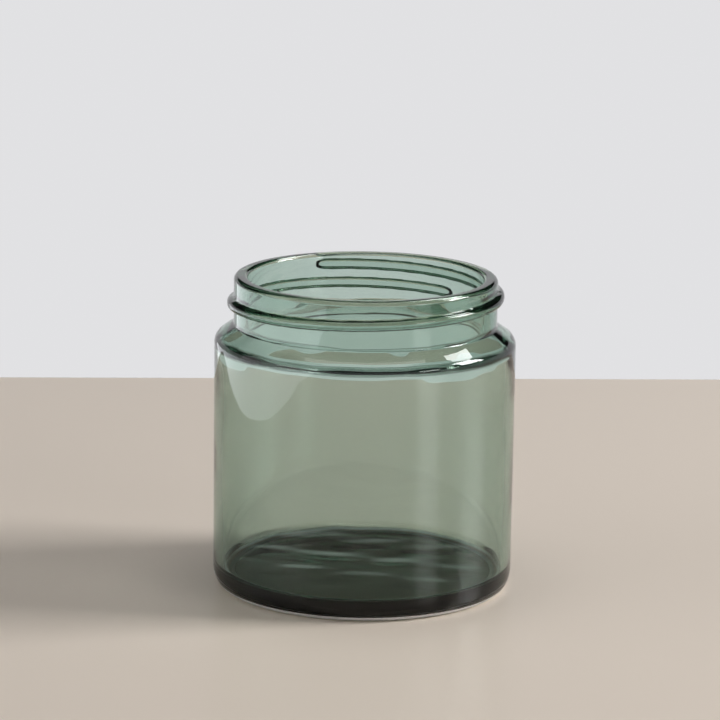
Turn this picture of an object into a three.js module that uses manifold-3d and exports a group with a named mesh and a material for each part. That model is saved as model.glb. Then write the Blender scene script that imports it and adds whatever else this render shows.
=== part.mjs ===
// An empty candle jar: one piece of moulded grey-green glass with a straight
// round body, a thick base with a push-up, and a wide neck that carries one
// right-hand screw ridge for a lid.
// Millimetres, +Z up. The origin is the centre of the foot.

import * as THREE from 'three';
import { mergeVertices } from 'three/addons/utils/BufferGeometryUtils.js';
import Module from 'manifold-3d';

// Driving dimensions: outside of the jar.
const HEIGHT = 64.3;
const BODY_RADIUS = 30.75;
const HEEL_REACH = 2.2; // how far the heel's curve goes in
const HEEL_HEIGHT = 3.8; // and how far it goes up
const NECK_RADIUS = 26.85;
const FINISH_HEIGHT = 12.5; // from the shoulder's edge up to the rim
const SHOULDER_RISE = 2.6; // from that edge to the foot of the neck
const SHOULDER_ROUND = 2.5;
const NECK_FILLET = 0.5;
const LIP_OUTER_ROUND = 0.9; // a flat sealing land lies between the lip's two rounds
const LIP_INNER_ROUND = 0.8;

// Inside and foot.
const WALL = 1.8;
const BORE_RADIUS = 23.95;
const BASE_THICKNESS = 4.0;
const INNER_HEEL_ROUND = 1.2;
const FOOT_RING_WIDTH = 0.8; // the flat ring that the jar stands on
const PUSH_UP_DEPTH = 1.0;
const INNER_SHOULDER_DROP = 1.8; // from the shoulder's edge down to its edge inside
const INNER_SHOULDER_ROUND = 1.5;
const THROAT_RISE = 4.0; // from the inner edge up to the foot of the bore
const THROAT_ROUND = 2.2;
const FLARE = 0.3; // the wall thins towards the inner edge
const FLARE_HEIGHT = 12.0;

// Screw ridge: half-elliptical, with its upper end at the back on the left.
const THREAD_DEPTH = 1.35;
const THREAD_WIDTH = 2.1;
const THREAD_PITCH = 3.9;
const THREAD_TURNS = 1.19;
const THREAD_TOP_ANGLE = THREE.MathUtils.degToRad(114);
const THREAD_TOP_DROP = 2.48; // from the rim down to the ridge's upper end
const THREAD_NOSE = 2.6; // length of the rounded run-out at each end
const THREAD_ROOT = 1.0; // how deep the ridge is buried in the neck wall

// Fineness of the facets.
const SEGMENTS = 64; // round the jar
const ROUND_STEPS = 4; // along each small round
const HEEL_STEPS = 5;
const PUSH_UP_STEPS = 6;
const THREAD_STEPS = 84; // along the ridge
const THREAD_END_CROWDING = 0.6; // 0 spaces those steps evenly
const THREAD_HALF_STEPS = 3; // over each half of the ridge's section
const THREAD_TIP = 0.15; // the ridge's share of its full size at its very ends

// Worked out from those.
const SHOULDER_EDGE = HEIGHT - FINISH_HEIGHT;
const INNER_RADIUS = BODY_RADIUS - WALL;
const INNER_EDGE = SHOULDER_EDGE - INNER_SHOULDER_DROP;
const FOOT_OUTER_RADIUS = BODY_RADIUS - HEEL_REACH;
const FOOT_INNER_RADIUS = FOOT_OUTER_RADIUS - FOOT_RING_WIDTH;
const THREAD_TOP_HEIGHT = HEIGHT - THREAD_TOP_DROP;

// Points of an arc about (r, z), from one angle to another.
function arc(r, z, reach, rise, start, end, steps) {
  return new THREE.EllipseCurve(r, z, reach, rise, start, end, end < start).getPoints(steps);
}

// Underside and heel, from the axis out to the side.
function footPoints() {
  return [
    ...arc(0, 0, FOOT_INNER_RADIUS, PUSH_UP_DEPTH, Math.PI / 2, 0, PUSH_UP_STEPS),
    ...arc(FOOT_OUTER_RADIUS, HEEL_HEIGHT, HEEL_REACH, HEEL_HEIGHT, -Math.PI / 2, 0, HEEL_STEPS),
  ];
}

// Corners of the section above the heel, each with its round: up the side, over the lip,
// down the inside and along the floor to the axis.
function upperCorners() {
  return [
    [BODY_RADIUS, HEEL_HEIGHT, 0],
    [BODY_RADIUS, SHOULDER_EDGE, SHOULDER_ROUND],
    [NECK_RADIUS, SHOULDER_EDGE + SHOULDER_RISE, NECK_FILLET],
    [NECK_RADIUS, HEIGHT, LIP_OUTER_ROUND],
    [BORE_RADIUS, HEIGHT, LIP_INNER_ROUND],
    [BORE_RADIUS, INNER_EDGE + THROAT_RISE, THROAT_ROUND],
    [INNER_RADIUS + FLARE, INNER_EDGE, INNER_SHOULDER_ROUND],
    [INNER_RADIUS, INNER_EDGE - FLARE_HEIGHT, 0],
    [INNER_RADIUS, BASE_THICKNESS, INNER_HEEL_ROUND],
    [0, BASE_THICKNESS, 0],
  ];
}

// The round that takes off the corner at a point, between its two neighbours.
function roundedCorner(before, at, after, radius) {
  const back = before.clone().sub(at).normalize();
  const onward = after.clone().sub(at).normalize();
  const half = Math.acos(back.dot(onward)) / 2;
  const centre = back.clone().add(onward).setLength(radius / Math.sin(half)).add(at);
  const [start, end] = [back, onward].map((side) =>
    side.setLength(radius / Math.tan(half)).add(at).sub(centre).angle(),
  );
  const turn = THREE.MathUtils.euclideanModulo(end - start + Math.PI, 2 * Math.PI) - Math.PI;
  return arc(centre.x, centre.y, radius, radius, start, start + turn, ROUND_STEPS);
}

// The section above the heel, with its corners rounded.
function upperPoints() {
  const corners = upperCorners();
  const points = corners.map(([r, z]) => new THREE.Vector2(r, z));
  return corners.flatMap(([, , radius], i) =>
    radius > 0 ? roundedCorner(points[i - 1], points[i], points[i + 1], radius) : [points[i]],
  );
}

// Leaves out a point that repeats the one before it.
function withoutRepeats(points) {
  return points.filter((point, i) => i === 0 || point.distanceTo(points[i - 1]) > 1e-6);
}

// The jar without its screw ridge: one closed section turned about the axis.
function potGeometry() {
  const section = [...footPoints(), ...upperPoints()];
  return new THREE.LatheGeometry(withoutRepeats(section), SEGMENTS).rotateX(Math.PI / 2);
}

// How full the ridge is at a share of its length: 1 along it, rounded off at both ends.
function ridgeFullness(share) {
  const length = THREAD_TURNS * 2 * Math.PI * NECK_RADIUS;
  const fromEnd = Math.min(share, 1 - share) * length;
  const short = 1 - Math.min(fromEnd / THREAD_NOSE, 1);
  return Math.max(Math.sqrt(1 - short * short), THREAD_TIP);
}

// A straight bar of the ridge's section, wrapped down round the neck from its upper end.
function threadGeometry() {
  const section = new THREE.Shape();
  section.moveTo(-THREAD_ROOT, -THREAD_WIDTH / 2);
  section.lineTo(0, -THREAD_WIDTH / 2);
  section.absellipse(0, 0, THREAD_DEPTH, THREAD_WIDTH / 2, -Math.PI / 2, Math.PI / 2, false);
  section.lineTo(-THREAD_ROOT, THREAD_WIDTH / 2);
  const bar = new THREE.ExtrudeGeometry(section, {
    depth: 1,
    steps: THREAD_STEPS,
    curveSegments: THREAD_HALF_STEPS,
    bevelEnabled: false,
  });
  const position = bar.attributes.position;
  const point = new THREE.Vector3();
  for (let i = 0; i < position.count; i += 1) {
    const { x: outwards, y: upwards, z: along } = point.fromBufferAttribute(position, i);
    const crowding = (THREAD_END_CROWDING * Math.sin(2 * Math.PI * along)) / (2 * Math.PI);
    const share = along - crowding;
    const turned = share * THREAD_TURNS;
    const full = ridgeFullness(share);
    const angle = THREAD_TOP_ANGLE - turned * 2 * Math.PI;
    const radius = NECK_RADIUS + (outwards > 0 ? outwards * full : outwards);
    const height = THREAD_TOP_HEIGHT - turned * THREAD_PITCH + upwards * full;
    position.setXYZ(i, radius * Math.cos(angle), radius * Math.sin(angle), height);
  }
  return bar;
}

// A closed geometry as a solid that can be joined to another.
function toSolid(wasm, geometry) {
  geometry.deleteAttribute('normal');
  geometry.deleteAttribute('uv');
  const merged = mergeVertices(geometry, 1e-5);
  return new wasm.Manifold(
    new wasm.Mesh({
      numProp: 3,
      vertProperties: new Float32Array(merged.attributes.position.array),
      triVerts: new Uint32Array(merged.index.array),
    }),
  );
}

// And a joined solid as a geometry again.
function toGeometry(solid) {
  const mesh = solid.getMesh();
  const geometry = new THREE.BufferGeometry();
  geometry.setAttribute('position', new THREE.BufferAttribute(mesh.vertProperties, 3));
  geometry.setIndex(new THREE.BufferAttribute(mesh.triVerts, 1));
  geometry.computeVertexNormals();
  return geometry;
}

async function glassJar() {
  const wasm = await Module();
  wasm.setup();
  const pot = toSolid(wasm, potGeometry());
  const jar = pot.add(toSolid(wasm, threadGeometry()));
  const glass = new THREE.MeshStandardMaterial({
    color: 0xb4c4b6,
    roughness: 0.04,
    metalness: 0,
    transparent: true,
    opacity: 0.35,
  });
  const mesh = new THREE.Mesh(toGeometry(jar), glass);
  mesh.name = 'glass_jar';
  return mesh;
}

const group = new THREE.Group();
group.add(await glassJar());

export default group;
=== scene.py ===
"""An empty candle jar: one piece of moulded grey-green glass, given its looks round the CAD frame.

Metres, +Z up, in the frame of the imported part: the origin is the centre of the foot.
"""

import math

import bpy
import numpy as np
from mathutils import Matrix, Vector


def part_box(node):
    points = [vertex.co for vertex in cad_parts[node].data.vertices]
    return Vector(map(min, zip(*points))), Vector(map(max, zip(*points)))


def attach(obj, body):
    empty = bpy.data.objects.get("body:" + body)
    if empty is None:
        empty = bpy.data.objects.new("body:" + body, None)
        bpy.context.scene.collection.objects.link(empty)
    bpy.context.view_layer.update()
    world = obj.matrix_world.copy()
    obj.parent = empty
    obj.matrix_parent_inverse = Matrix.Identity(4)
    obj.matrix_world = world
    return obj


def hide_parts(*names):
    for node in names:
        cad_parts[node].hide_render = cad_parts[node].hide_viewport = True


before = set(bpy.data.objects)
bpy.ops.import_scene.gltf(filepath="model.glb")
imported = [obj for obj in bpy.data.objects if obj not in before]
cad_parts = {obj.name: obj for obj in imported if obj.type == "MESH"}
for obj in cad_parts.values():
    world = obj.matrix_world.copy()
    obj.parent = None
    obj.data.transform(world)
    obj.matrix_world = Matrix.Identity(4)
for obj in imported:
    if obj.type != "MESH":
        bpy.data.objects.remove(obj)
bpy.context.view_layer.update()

MM = 0.001
TURN = 2 * math.pi
NODE = "glass_jar"

# Driving dimensions of the jar: its height and width are the frame's.
BOX_LOW, BOX_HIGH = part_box(NODE)
HEIGHT = BOX_HIGH.z - BOX_LOW.z
BODY_RADIUS = (BOX_HIGH.x - BOX_LOW.x) / 2
HEEL_REACH, HEEL_HEIGHT = 2.2 * MM, 3.8 * MM
FINISH_HEIGHT = 12.5 * MM  # from the shoulder's edge up to the rim
SHOULDER_RISE, SHOULDER_ROUND = 2.6 * MM, 2.5 * MM
NECK_SETBACK, NECK_FILLET = 3.9 * MM, 0.5 * MM
LIP_OUTER_ROUND, LIP_INNER_ROUND = 0.9 * MM, 0.8 * MM
WALL, NECK_WALL, BASE_THICKNESS = 1.8 * MM, 2.9 * MM, 4.0 * MM
INNER_HEEL_ROUND = 1.2 * MM
FOOT_RING_WIDTH, PUSH_UP_DEPTH = 0.8 * MM, 1.0 * MM
THROAT_RISE, THROAT_ROUND = 4.0 * MM, 2.2 * MM
INNER_SHOULDER_DROP, INNER_SHOULDER_ROUND = 1.8 * MM, 1.5 * MM
FLARE, FLARE_HEIGHT, FLARE_ROUND = 0.3 * MM, 12.0 * MM, 220 * MM

# Worked out from those.
NECK_RADIUS = BODY_RADIUS - NECK_SETBACK
BORE_RADIUS = NECK_RADIUS - NECK_WALL
INNER_RADIUS = BODY_RADIUS - WALL
SHOULDER_EDGE = HEIGHT - FINISH_HEIGHT
RING_OUTER = BODY_RADIUS - HEEL_REACH
RING_INNER = RING_OUTER - FOOT_RING_WIDTH

# The screw ridge: a right-hand helix that runs down from its upper end at the back.
THREAD_DEPTH, THREAD_WIDTH = 1.35 * MM, 2.1 * MM
THREAD_PITCH, THREAD_TURNS = 3.9 * MM, 1.19
THREAD_TOP_ANGLE = math.radians(114)
THREAD_TOP_DROP = 2.48 * MM  # from the rim down to the ridge's upper end
THREAD_NOSE = 2.6 * MM  # length of the rounded run-out at each end
THREAD_SQUARENESS = 2.6  # of its section: 2 gives half an ellipse, more gives fuller shoulders

# The ring that the jar stands on is stippled: satin, and finely ribbed, up to this height on the heel
# and as far inwards from the ring.
STIPPLE_TOP = 1.1 * MM
STIPPLE_ROUGHNESS, STIPPLE_CLARITY = 0.5, 0.35
RIBS, RIB_DEPTH = 180, 0.08 * MM

# The inside is a little uneven. On the wall: (size, lobes round the jar, height of one wave, phase),
WALL_WAVES = (
    (0.016 * MM, 3, 46 * MM, 0.4),
    (0.012 * MM, 7, -31 * MM, 1.9),
    (0.007 * MM, 12, 23 * MM, 4.1),
    (0.004 * MM, 19, -12 * MM, 2.7),
)
# this many times that about the shoulder's edge, within a reach up and down,
SHOULDER_WAVE, SHOULDER_WAVE_REACH = 14.0, 2.2 * MM
# and on the floor: (size, length across, length front to back, phase),
FLOOR_WAVES = (
    (0.05 * MM, 41 * MM, 13 * MM, 0.9),
    (0.02 * MM, -29 * MM, 8 * MM, 3.3),
    (0.012 * MM, 17 * MM, 5.5 * MM, 5.2),
)
# dying out towards the wall with this power of the radius.
FLOOR_WAVE_FADE = 4

# Fineness of the mesh.
SEGMENTS = 360
NECK_ROW, WALL_ROW = 0.13 * MM, 2.0 * MM
PUSH_UP_STEPS, HEEL_STEPS = 24, 16
SAME_POINT = 1e-4 * MM  # points closer than this are one

# The glass. Its moulded skin is faintly rippled.
GLASS_IOR = 1.52
RIPPLE_LENGTH, RIPPLE_DEPTH = 6 * MM, 0.008 * MM
TINT_COLOUR, TINT_DENSITY = (0.19, 0.46, 0.32, 1), 228  # what is left of each colour, and how fast

# The viewpoint: the camera stands off from the axis at TARGET_HEIGHT, and looks at AIM.
LENS_MM, SENSOR_MM = 169.05, 36.0
TARGET_HEIGHT = 31.9 * MM
CAMERA_DISTANCE = 694 * MM
CAMERA_ELEVATION = math.radians(13.97)
AIM = Vector((-0.99 * MM, 0, 46.7 * MM))
CAMERA_ROLL = math.radians(0.84)

# The table top: its far and left edges show only in the background and in reflections.
TABLE_LEFT, TABLE_RIGHT, TABLE_FRONT, TABLE_BACK = -0.181, 0.8, -0.9, 0.184
TABLE_THICKNESS = 0.03
TABLE_TURN = math.radians(3)
TABLE_COLOUR = (0.79, 0.70, 0.61, 1)
TABLE_ROUGHNESS = 0.3

# The room: a pale wall round the horizon, up to these slopes, and a dim ceiling above it.
WALL_COLOUR = (0.82, 0.82, 0.835, 1)
WALL_TOP = (0.2, 0.27)
CEILING_FROM, CEILING_TO = 0.2, -0.5  # from the far side round to the camera's side
CEILING_BACK, CEILING_FRONT = 0.03, 0.1

# Softboxes that face the jar: (name, azimuth in degrees to the right of the camera's side, distance,
# low edge, high edge, width, radiance, colour, whether it lights matt surfaces).
SOFTBOXES = (
    ("key_window", 92, 1.2, 0.45, 1.05, 0.5, 22, (1, 1, 1), True),
    ("back_window", 135, 1.3, 1.3, 2.0, 1.8, 9, (1, 1, 1), False),
    ("front_window", 50, 1.5, 0.24, 0.5, 0.45, 7, (1, 1, 1), True),
    ("left_wall", -75, 1.5, 0.0, 1.2, 1.8, 1.0, (1, 1, 1), True),
    ("left_glow", -93, 1.2, -0.6, -0.02, 4, 1.6, (0.93, 0.96, 1), True),
)
OVERHEAD_HEIGHT, OVERHEAD_SIZE, OVERHEAD_RADIANCE = 1.4, 1.0, 2.0
EXPOSURE = -0.35


def arc(centre, reach, rise, start, end, steps):
    """A round of the section about a centre, from one angle to another."""
    angle = np.linspace(start, end, steps + 1)
    return np.array(centre) + np.column_stack([reach * np.cos(angle), rise * np.sin(angle)])


def corner(before, at, after, radius, steps):
    """The round that takes off the corner at one point of the section, between its two neighbours."""
    back = (before - at) / np.linalg.norm(before - at)
    onward = (after - at) / np.linalg.norm(after - at)
    half = math.acos(back @ onward) / 2
    centre = at + (back + onward) / np.linalg.norm(back + onward) * radius / math.sin(half)
    spokes = [at + side * radius / math.tan(half) - centre for side in (back, onward)]
    start, end = (math.atan2(spoke[1], spoke[0]) for spoke in spokes)
    turn = (end - start + math.pi) % TURN - math.pi
    return arc(centre, radius, radius, start, start + turn, steps)


def filled(points, longest):
    """The same outline, with points added where two neighbours are further apart than longest."""
    out = [points[0]]
    for a, b in zip(points[:-1], points[1:]):
        steps = max(1, math.ceil((np.linalg.norm(b - a) - SAME_POINT) / longest))
        out += [a + (b - a) * k / steps for k in range(1, steps + 1)]
    return np.array(out)


def without_repeats(points):
    """The same outline, less each point that repeats the one before it."""
    apart = np.linalg.norm(np.diff(points, axis=0), axis=1) > SAME_POINT
    return points[np.concatenate([[True], apart])]


def foot_arcs():
    """The underside's push-up with the flat ring round it, and the heel, up to the side."""
    return [
        arc((0, 0), RING_INNER, PUSH_UP_DEPTH, TURN / 4, 0, PUSH_UP_STEPS),
        arc((RING_OUTER, HEEL_HEIGHT), HEEL_REACH, HEEL_HEIGHT, -TURN / 4, 0, HEEL_STEPS),
    ]


def upper_arcs():
    """The section's corners above the heel, rounded: up the side, over the lip and down to the floor."""
    inner_edge = SHOULDER_EDGE - INNER_SHOULDER_DROP
    corners = [  # radius, height, round and its steps
        (BODY_RADIUS, HEEL_HEIGHT, 0, 0),
        (BODY_RADIUS, SHOULDER_EDGE, SHOULDER_ROUND, 16),
        (NECK_RADIUS, SHOULDER_EDGE + SHOULDER_RISE, NECK_FILLET, 8),
        (NECK_RADIUS, HEIGHT, LIP_OUTER_ROUND, 12),
        (BORE_RADIUS, HEIGHT, LIP_INNER_ROUND, 12),
        (BORE_RADIUS, inner_edge + THROAT_RISE, THROAT_ROUND, 12),
        (INNER_RADIUS + FLARE, inner_edge, INNER_SHOULDER_ROUND, 14),
        (INNER_RADIUS, inner_edge - FLARE_HEIGHT, FLARE_ROUND, 10),
        (INNER_RADIUS, BASE_THICKNESS, INNER_HEEL_ROUND, 14),
        (0, BASE_THICKNESS, 0, 0),
    ]
    points = np.array(corners)[:, :2]
    rounds = [
        corner(*points[i - 1 : i + 2], *corners[i][2:]) for i in range(1, len(corners) - 1)
    ]
    return [points[:1], *rounds, points[-1:]]


def jar_section():
    """(points of the whole section, from the underside's middle to the floor's, the zone of each)."""
    arcs = upper_arcs()
    outside = filled(without_repeats(np.vstack([*foot_arcs(), *arcs[:3]])), WALL_ROW)
    neck = filled(np.vstack([outside[-1], arcs[3][0]]), NECK_ROW)[1:-1]
    lip = without_repeats(np.vstack(arcs[3:5]))
    inside = filled(without_repeats(np.vstack([lip[-1:], *arcs[5:]])), WALL_ROW)[1:]
    zones = {"outside": outside, "neck": neck, "lip": lip, "inside": inside}
    zone = np.repeat(list(zones), [len(points) for points in zones.values()])
    return np.vstack(list(zones.values())), zone


def ridge_height(angle, height):
    """How far the screw ridge stands out of the neck, with rounded ends."""
    length = THREAD_TURNS * TURN * NECK_RADIUS
    first = (THREAD_TOP_ANGLE - angle + math.pi) % TURN - math.pi
    tallest = np.zeros(np.broadcast(angle, height).shape)
    for lap in range(math.ceil(THREAD_TURNS) + 1):
        wound = first + lap * TURN
        centre = HEIGHT - THREAD_TOP_DROP - THREAD_PITCH * wound / TURN
        travelled = wound * NECK_RADIUS
        into_nose = np.maximum(THREAD_NOSE - travelled, travelled - length + THREAD_NOSE)
        nose = np.maximum(into_nose, 0) / THREAD_NOSE
        off = np.hypot((height - centre) / (THREAD_WIDTH / 2), nose)
        section = np.maximum(1 - off**THREAD_SQUARENESS, 0) ** (1 / THREAD_SQUARENESS)
        tallest = np.maximum(tallest, THREAD_DEPTH * section)
    return tallest


def waves(table, first, second):
    """The sum of the waves in a table of (size, advance per first, advance per second, phase)."""
    return sum(size * np.sin(a * first + b * second + phase) for size, a, b, phase in table)


def inside_waves(r, z, angle):
    """(how far the uneven inside moves outwards, how far it moves upwards)."""
    wall = [(size, lobes, TURN / pitch, phase) for size, lobes, pitch, phase in WALL_WAVES]
    floor = [(size, TURN / across, TURN / deep, phase) for size, across, deep, phase in FLOOR_WAVES]
    shoulder = np.exp(-(((z - SHOULDER_EDGE) / SHOULDER_WAVE_REACH) ** 2))
    below_lip = np.clip((HEIGHT - LIP_INNER_ROUND - z) / THROAT_RISE, 0, 1)
    above_floor = np.clip((z - BASE_THICKNESS) / INNER_HEEL_ROUND, 0, 1)
    on_wall = (1 + (SHOULDER_WAVE - 1) * shoulder) * below_lip * above_floor
    on_floor = (1 - above_floor) * np.clip(1 - (r / INNER_RADIUS) ** FLOOR_WAVE_FADE, 0, 1)
    outwards = on_wall * waves(wall, angle, z)
    upwards = on_floor * waves(floor, r * np.cos(angle), r * np.sin(angle))
    return outwards, upwards


def jar_rings(rows, zone, angle):
    """(radius, height) of every point of the skin, and which rows are stippled."""
    radius = np.repeat(rows[:, :1], SEGMENTS, axis=1)
    height = np.repeat(rows[:, 1:], SEGMENTS, axis=1)
    neck, inside = zone == "neck", zone == "inside"
    radius[neck] += ridge_height(angle, height[neck])
    outwards, upwards = inside_waves(radius[inside], height[inside], angle)
    radius[inside] += outwards
    height[inside] += upwards
    r, z = rows.T
    stippled = (zone == "outside") & (r > RING_INNER - STIPPLE_TOP) & (z < STIPPLE_TOP)
    radius[stippled & (z > 0)] -= RIB_DEPTH * (0.5 + 0.5 * np.cos(RIBS * angle))
    return radius, height, stippled


def skin_faces(rows, under, floor):
    """Quads between neighbouring rows, and a fan round the middle of the underside and the floor."""
    index = np.arange(rows * SEGMENTS).reshape(rows, SEGMENTS)
    after = np.roll(index, -1, axis=1)
    quads = np.stack([index[:-1], after[:-1], after[1:], index[1:]], axis=-1).reshape(-1, 4)
    fans = [(under, b, a) for a, b in zip(index[0].tolist(), after[0].tolist())]
    fans += [(a, b, floor) for a, b in zip(index[-1].tolist(), after[-1].tolist())]
    return quads.tolist() + fans


def jar_mesh():
    """The jar as one closed skin: the section turned about the axis, with the ridge on its neck."""
    section, zone = jar_section()
    rows = section[1:-1]
    angle = np.arange(SEGMENTS) * TURN / SEGMENTS
    radius, height, stippled = jar_rings(rows, zone[1:-1], angle)
    ring = np.stack([radius * np.cos(angle), radius * np.sin(angle), height], axis=-1)
    floor_middle = inside_waves(np.zeros(1), section[-1, 1:], np.zeros(1))[1][0]
    poles = [[0, 0, section[0, 1]], [0, 0, section[-1, 1] + floor_middle]]
    points = np.vstack([ring.reshape(-1, 3), poles])
    faces = skin_faces(len(rows), len(points) - 2, len(points) - 1)

    mesh = bpy.data.meshes.new("jar_glass")
    mesh.from_pydata(points.tolist(), [], faces)
    mesh.polygons.foreach_set("use_smooth", [True] * len(mesh.polygons))
    stipple = mesh.attributes.new("stipple", "FLOAT", "POINT")
    stipple.data.foreach_set("value", np.append(np.repeat(stippled, SEGMENTS), [0, 0]))
    mesh.update()
    return mesh


def new_material(name):
    """A node material with only its output node."""
    material = bpy.data.materials.new(name)
    material.use_nodes = True
    nodes, links = material.node_tree.nodes, material.node_tree.links
    nodes.clear()
    return material, nodes, links, nodes.new("ShaderNodeOutputMaterial")


def ripple(nodes, links):
    """The normal of the faintly rippled skin."""
    place = nodes.new("ShaderNodeTexCoord")
    noise = nodes.new("ShaderNodeTexNoise")
    noise.inputs["Scale"].default_value = 1 / RIPPLE_LENGTH
    bump = nodes.new("ShaderNodeBump")
    bump.inputs["Distance"].default_value = RIPPLE_DEPTH
    links.new(place.outputs["Object"], noise.inputs["Vector"])
    links.new(noise.outputs["Fac"], bump.inputs["Height"])
    return bump.outputs["Normal"]


def glass_material():
    """Grey-green glass: clear rippled skin, tinted by depth, satin where it is stippled."""
    material, nodes, links, output = new_material("green_glass")
    skin = nodes.new("ShaderNodeBsdfPrincipled")
    skin.inputs["Base Color"].default_value = (1, 1, 1, 1)
    skin.inputs["IOR"].default_value = GLASS_IOR
    links.new(ripple(nodes, links), skin.inputs["Normal"])
    links.new(skin.outputs["BSDF"], output.inputs["Surface"])
    stipple = nodes.new("ShaderNodeAttribute")
    stipple.attribute_name = "stipple"
    for socket, clear, stippled in (
        ("Roughness", 0.0, STIPPLE_ROUGHNESS),
        ("Transmission Weight", 1.0, STIPPLE_CLARITY),
    ):
        level = nodes.new("ShaderNodeMapRange")
        level.inputs["To Min"].default_value = clear
        level.inputs["To Max"].default_value = stippled
        links.new(stipple.outputs["Fac"], level.inputs["Value"])
        links.new(level.outputs["Result"], skin.inputs[socket])
    tint = nodes.new("ShaderNodeVolumeAbsorption")
    tint.inputs["Color"].default_value = TINT_COLOUR
    tint.inputs["Density"].default_value = TINT_DENSITY
    links.new(tint.outputs["Volume"], output.inputs["Volume"])
    return material


def build_jar():
    """The glass jar, in place of its CAD solid."""
    jar = bpy.data.objects.new("jar_glass", jar_mesh())
    bpy.context.scene.collection.objects.link(jar)
    jar.data.materials.append(glass_material())
    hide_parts(NODE)
    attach(jar, "root")


def table_material():
    """A pale semi-gloss table top."""
    material, nodes, links, output = new_material("table")
    skin = nodes.new("ShaderNodeBsdfPrincipled")
    skin.inputs["Base Color"].default_value = TABLE_COLOUR
    skin.inputs["Roughness"].default_value = TABLE_ROUGHNESS
    links.new(skin.outputs["BSDF"], output.inputs["Surface"])
    return material


def build_table():
    """The table that the jar stands on: a slab, a little askew."""
    points = [
        (x, y, z)
        for z in (-TABLE_THICKNESS, 0)
        for y in (TABLE_FRONT, TABLE_BACK)
        for x in (TABLE_LEFT, TABLE_RIGHT)
    ]
    faces = [(0, 2, 3, 1), (4, 5, 7, 6), (0, 1, 5, 4), (1, 3, 7, 5), (3, 2, 6, 7), (2, 0, 4, 6)]
    mesh = bpy.data.meshes.new("table")
    mesh.from_pydata(points, [], faces)
    table = bpy.data.objects.new("table", mesh)
    bpy.context.scene.collection.objects.link(table)
    table.data.materials.append(table_material())
    table.rotation_euler.z = TABLE_TURN


def area_lamp(name, width, height, radiance, colour=(1, 1, 1)):
    """A rectangular lamp that is never seen directly or through the glass, only reflected."""
    light = bpy.data.lights.new(name, "AREA")
    light.shape = "RECTANGLE"
    light.size, light.size_y = width, height
    light.energy = radiance * math.pi * width * height
    light.color = colour
    lamp = bpy.data.objects.new(name, light)
    lamp.visible_camera = lamp.visible_transmission = False
    bpy.context.scene.collection.objects.link(lamp)
    return lamp


def build_lamps():
    """Upright softboxes round the jar, and a soft lamp overhead."""
    for name, azimuth, distance, low, high, width, radiance, colour, lights_matt in SOFTBOXES:
        turn = math.radians(azimuth)
        lamp = area_lamp(name, width, high - low, radiance, colour)
        lamp.location = (distance * math.sin(turn), -distance * math.cos(turn), (low + high) / 2)
        lamp.rotation_euler = (math.pi / 2, 0, turn)
        lamp.visible_diffuse = lights_matt
    overhead = area_lamp("overhead", OVERHEAD_SIZE, OVERHEAD_SIZE, OVERHEAD_RADIANCE)
    overhead.location.z = OVERHEAD_HEIGHT


def eased(nodes, links, value, low, high, start=0.0, end=1.0):
    """The output of a smooth step: start where the value is at low, end where it is at high."""
    step = nodes.new("ShaderNodeMapRange")
    step.interpolation_type = "SMOOTHSTEP"
    for socket, number in (("From Min", low), ("From Max", high), ("To Min", start), ("To Max", end)):
        step.inputs[socket].default_value = number
    links.new(value, step.inputs["Value"])
    return step.outputs["Result"]


def build_world():
    """A plain studio: pale round the horizon, and dim above it, most of all on the far side."""
    world = bpy.data.worlds.new("studio")
    bpy.context.scene.world = world
    world.use_nodes = True
    nodes, links = world.node_tree.nodes, world.node_tree.links
    nodes.clear()
    output = nodes.new("ShaderNodeOutputWorld")
    background = nodes.new("ShaderNodeBackground")
    links.new(background.outputs["Background"], output.inputs["Surface"])
    coordinates = nodes.new("ShaderNodeTexCoord")
    split = nodes.new("ShaderNodeSeparateXYZ")
    links.new(coordinates.outputs["Generated"], split.inputs["Vector"])
    above = eased(nodes, links, split.outputs["Z"], *WALL_TOP)
    ceiling = eased(
        nodes, links, split.outputs["Y"], CEILING_FROM, CEILING_TO, CEILING_BACK, CEILING_FRONT
    )
    mix = nodes.new("ShaderNodeMix")
    mix.data_type = "RGBA"
    mix.inputs["A"].default_value = WALL_COLOUR
    links.new(above, mix.inputs["Factor"])
    links.new(ceiling, mix.inputs["B"])
    links.new(mix.outputs["Result"], background.inputs["Color"])


def build_camera():
    """A long lens in front of the jar and a little above it."""
    data = bpy.data.cameras.new("camera")
    data.lens, data.sensor_width = LENS_MM, SENSOR_MM
    camera = bpy.data.objects.new("camera", data)
    bpy.context.scene.collection.objects.link(camera)
    away = Vector((0, -math.cos(CAMERA_ELEVATION), math.sin(CAMERA_ELEVATION)))
    camera.location = Vector((0, 0, TARGET_HEIGHT)) + away * CAMERA_DISTANCE
    look = (AIM - camera.location).to_track_quat("-Z", "Y").to_matrix().to_4x4()
    camera.rotation_euler = look.to_euler()
    camera.rotation_euler.rotate_axis("Z", CAMERA_ROLL)
    bpy.context.scene.camera = camera


build_jar()
build_table()
build_lamps()
build_world()
build_camera()
view = bpy.context.scene.view_settings
view.view_transform, view.look, view.exposure = "Standard", "Medium High Contrast", EXPOSURE
